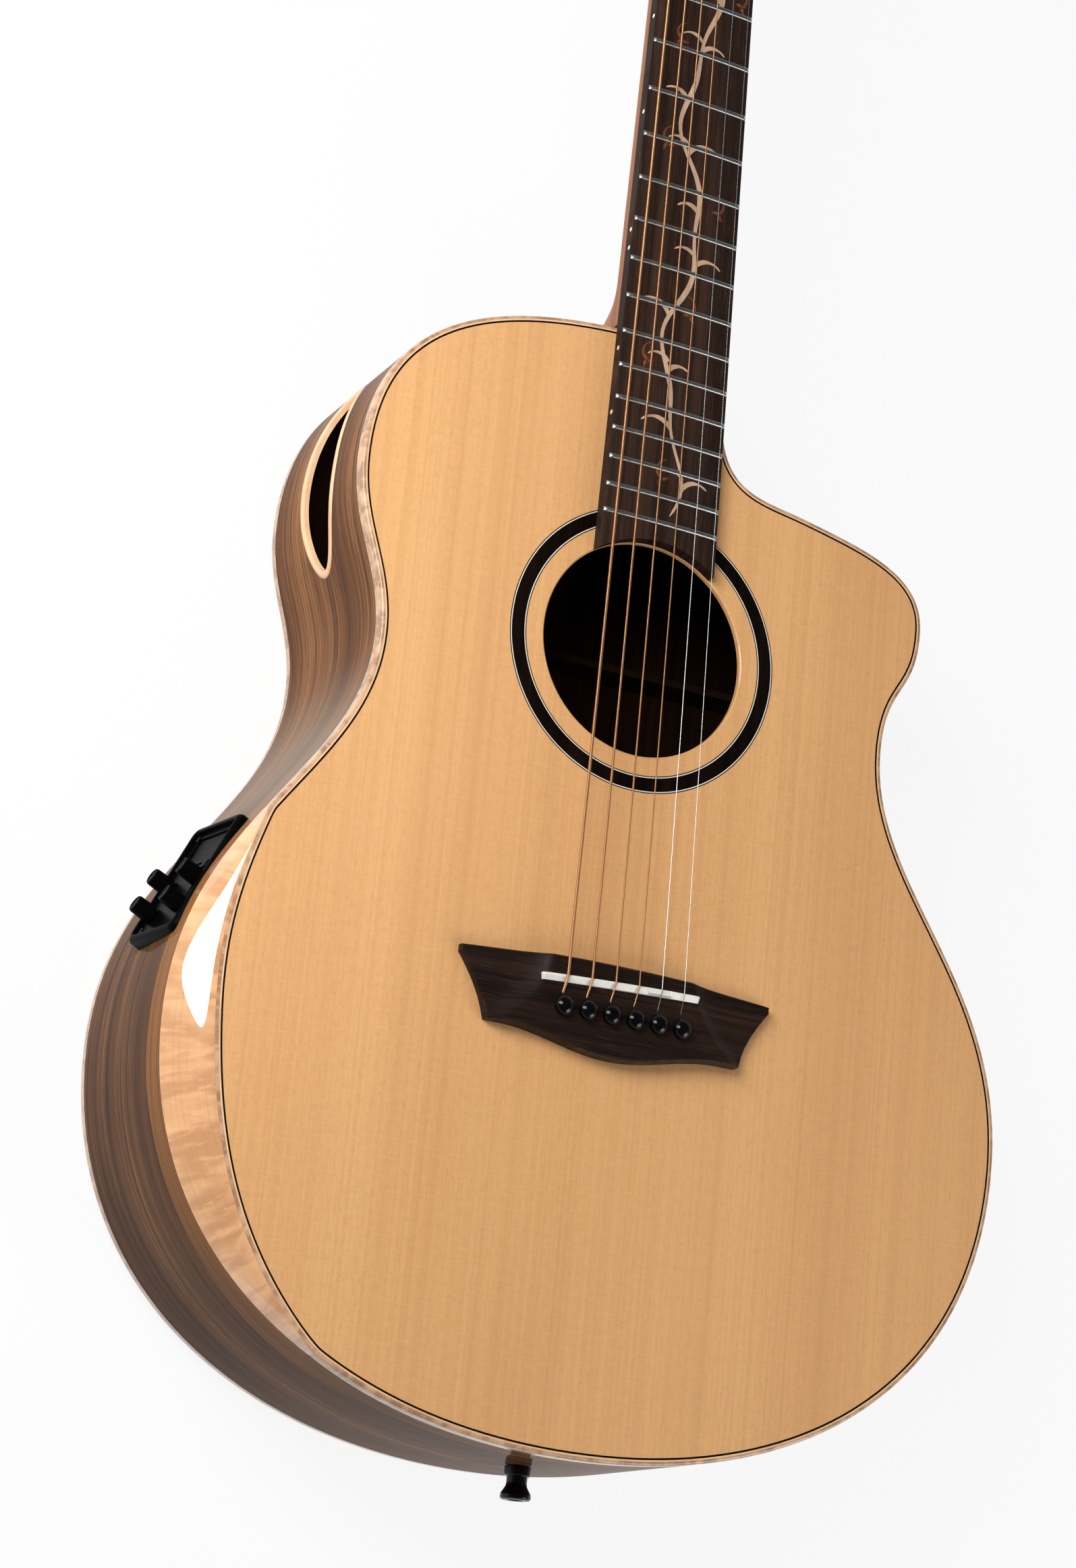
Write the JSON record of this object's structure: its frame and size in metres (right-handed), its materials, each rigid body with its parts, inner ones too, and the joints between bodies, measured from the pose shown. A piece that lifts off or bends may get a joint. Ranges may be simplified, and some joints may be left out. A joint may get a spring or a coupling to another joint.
{
  "type": "acoustic-electric guitar",
  "caption": "Steel-string acoustic-electric guitar with a cutaway, an armrest bevel, a side sound port, a side preamp and a tail jack.",
  "frame": {"origin": "on the flat middle of the back, under the point of the centre line where the open strings' nominal length ends at the saddle", "axes": "+X to the treble side, +Y along the centre line to the headstock, +Z out of the soundboard; the guitar lies on its back"},
  "size_m": [0.3861, 1.0455, 0.1235],
  "materials": {
    "spruce": "honey-coloured spruce, gloss lacquer",
    "rib_wood": "dark striped walnut, high gloss",
    "figured_maple": "curly maple, gloss lacquer",
    "binding_wood": "pale and tan edge strips, gloss lacquer",
    "block_wood": "plain unfinished wood",
    "brace_wood": "plain unfinished spruce",
    "neck_wood": "reddish-brown mahogany, satin",
    "board_wood": "dark brown striped, satin",
    "black_wood": "black stained ring with pale lines, gloss",
    "bone": "off-white, satin",
    "black_plastic": "black, satin",
    "bronze": "bronze-wound",
    "steel": "bright",
    "dark_metal": "black, gloss",
    "cell_wrap": "plain dark wrap"
  },
  "bodies": {
    "guitar": {"soundboard": "spruce", "rosette": "black_wood", "back_plate": "rib_wood", "rib_bass": "rib_wood", "rib_treble": "rib_wood", "binding_top": "binding_wood", "binding_back": "binding_wood", "armrest_bevel": "figured_maple", "lining_top_bass": "brace_wood", "lining_top_treble": "brace_wood", "lining_back_bass": "brace_wood", "lining_back_treble": "brace_wood", "neck_block": "block_wood", "tail_block": "block_wood", "x_brace": "brace_wood", "transverse_brace": "brace_wood", "back_bracing": "brace_wood", "bridge_plate": "figured_maple", "bridge": "board_wood", "saddle": "bone", "saddle_pickup": "steel", "bridge_pin_1": "black_plastic", "bridge_pin_2": "black_plastic", "bridge_pin_3": "black_plastic", "bridge_pin_4": "black_plastic", "bridge_pin_5": "black_plastic", "bridge_pin_6": "black_plastic", "neck": "neck_wood", "truss_rod": "steel", "fretboard": "board_wood", "nut": "bone", "string_1": "bronze", "string_2": "bronze", "string_3": "bronze", "string_4": "bronze", "string_5": "steel", "string_6": "steel", "tuner_plate_bass": "steel", "tuner_plate_treble": "steel", "port_trim": "figured_maple", "preamp_bezel": "black_plastic", "preamp_box": "black_plastic", "battery": "cell_wrap", "endpin_jack": "dark_metal"},
    "tuner_post_1": {"tuner_post_1": "steel"},
    "tuner_post_2": {"tuner_post_2": "steel"},
    "tuner_post_3": {"tuner_post_3": "steel"},
    "tuner_post_4": {"tuner_post_4": "steel"},
    "tuner_post_5": {"tuner_post_5": "steel"},
    "tuner_post_6": {"tuner_post_6": "steel"},
    "tuner_button_1": {"tuner_button_1": "steel"},
    "tuner_button_2": {"tuner_button_2": "steel"},
    "tuner_button_3": {"tuner_button_3": "steel"},
    "tuner_button_4": {"tuner_button_4": "steel"},
    "tuner_button_5": {"tuner_button_5": "steel"},
    "tuner_button_6": {"tuner_button_6": "steel"},
    "preamp_knob_1": {"preamp_knob_1": "black_plastic"},
    "preamp_knob_2": {"preamp_knob_2": "black_plastic"},
    "preamp_knob_3": {"preamp_knob_3": "black_plastic"},
    "preamp_knob_4": {"preamp_knob_4": "black_plastic"}
  },
  "joints": [
    {"name": "button_1_turn", "type": "hinge", "parent": "guitar", "child": "tuner_button_1", "pos_m": [-0.022, 0.70313, 0.07428], "axis": [1, 0, 0], "continuous": true},
    {"name": "post_1_turn", "type": "hinge", "parent": "guitar", "child": "tuner_post_1", "pos_m": [-0.022, 0.70027, 0.097], "axis": [0, 0.225, 0.9744], "continuous": true},
    {"name": "button_2_turn", "type": "hinge", "parent": "guitar", "child": "tuner_button_2", "pos_m": [-0.022, 0.74405, 0.06483], "axis": [1, 0, 0], "continuous": true},
    {"name": "post_2_turn", "type": "hinge", "parent": "guitar", "child": "tuner_post_2", "pos_m": [-0.022, 0.74119, 0.08755], "axis": [0, 0.225, 0.9744], "continuous": true},
    {"name": "button_3_turn", "type": "hinge", "parent": "guitar", "child": "tuner_button_3", "pos_m": [-0.022, 0.78498, 0.05538], "axis": [1, 0, 0], "continuous": true},
    {"name": "post_3_turn", "type": "hinge", "parent": "guitar", "child": "tuner_post_3", "pos_m": [-0.022, 0.78212, 0.07811], "axis": [0, 0.225, 0.9744], "continuous": true},
    {"name": "button_4_turn", "type": "hinge", "parent": "guitar", "child": "tuner_button_4", "pos_m": [0.022, 0.78498, 0.05538], "axis": [1, 0, 0], "continuous": true},
    {"name": "post_4_turn", "type": "hinge", "parent": "guitar", "child": "tuner_post_4", "pos_m": [0.022, 0.78212, 0.07811], "axis": [0, 0.225, 0.9744], "continuous": true},
    {"name": "button_5_turn", "type": "hinge", "parent": "guitar", "child": "tuner_button_5", "pos_m": [0.022, 0.74405, 0.06483], "axis": [1, 0, 0], "continuous": true},
    {"name": "post_5_turn", "type": "hinge", "parent": "guitar", "child": "tuner_post_5", "pos_m": [0.022, 0.74119, 0.08755], "axis": [0, 0.225, 0.9744], "continuous": true},
    {"name": "button_6_turn", "type": "hinge", "parent": "guitar", "child": "tuner_button_6", "pos_m": [0.022, 0.70313, 0.07428], "axis": [1, 0, 0], "continuous": true},
    {"name": "post_6_turn", "type": "hinge", "parent": "guitar", "child": "tuner_post_6", "pos_m": [0.022, 0.70027, 0.097], "axis": [0, 0.225, 0.9744], "continuous": true},
    {"name": "knob_1_turn", "type": "hinge", "parent": "guitar", "child": "preamp_knob_1", "pos_m": [-0.17895, 0.01554, 0.08105], "axis": [-0.9069, 0.4134, 0.0819], "range_deg": [-140, 140]},
    {"name": "knob_2_turn", "type": "hinge", "parent": "guitar", "child": "preamp_knob_2", "pos_m": [-0.18112, 0.01653, 0.05215], "axis": [-0.9069, 0.4134, 0.0819], "range_deg": [-140, 140]},
    {"name": "knob_3_turn", "type": "hinge", "parent": "guitar", "child": "preamp_knob_3", "pos_m": [-0.18476, 0.0028, 0.08105], "axis": [-0.9069, 0.4134, 0.0819], "range_deg": [-140, 140]},
    {"name": "knob_4_turn", "type": "hinge", "parent": "guitar", "child": "preamp_knob_4", "pos_m": [-0.18692, 0.00379, 0.05215], "axis": [-0.9069, 0.4134, 0.0819], "range_deg": [-140, 140]}
  ],
  "couplings": [
    {"joint": "post_1_turn", "follows": "button_1_turn", "ratio": 0.055556},
    {"joint": "post_2_turn", "follows": "button_2_turn", "ratio": 0.055556},
    {"joint": "post_3_turn", "follows": "button_3_turn", "ratio": 0.055556},
    {"joint": "post_4_turn", "follows": "button_4_turn", "ratio": 0.055556},
    {"joint": "post_5_turn", "follows": "button_5_turn", "ratio": 0.055556},
    {"joint": "post_6_turn", "follows": "button_6_turn", "ratio": 0.055556}
  ]
}
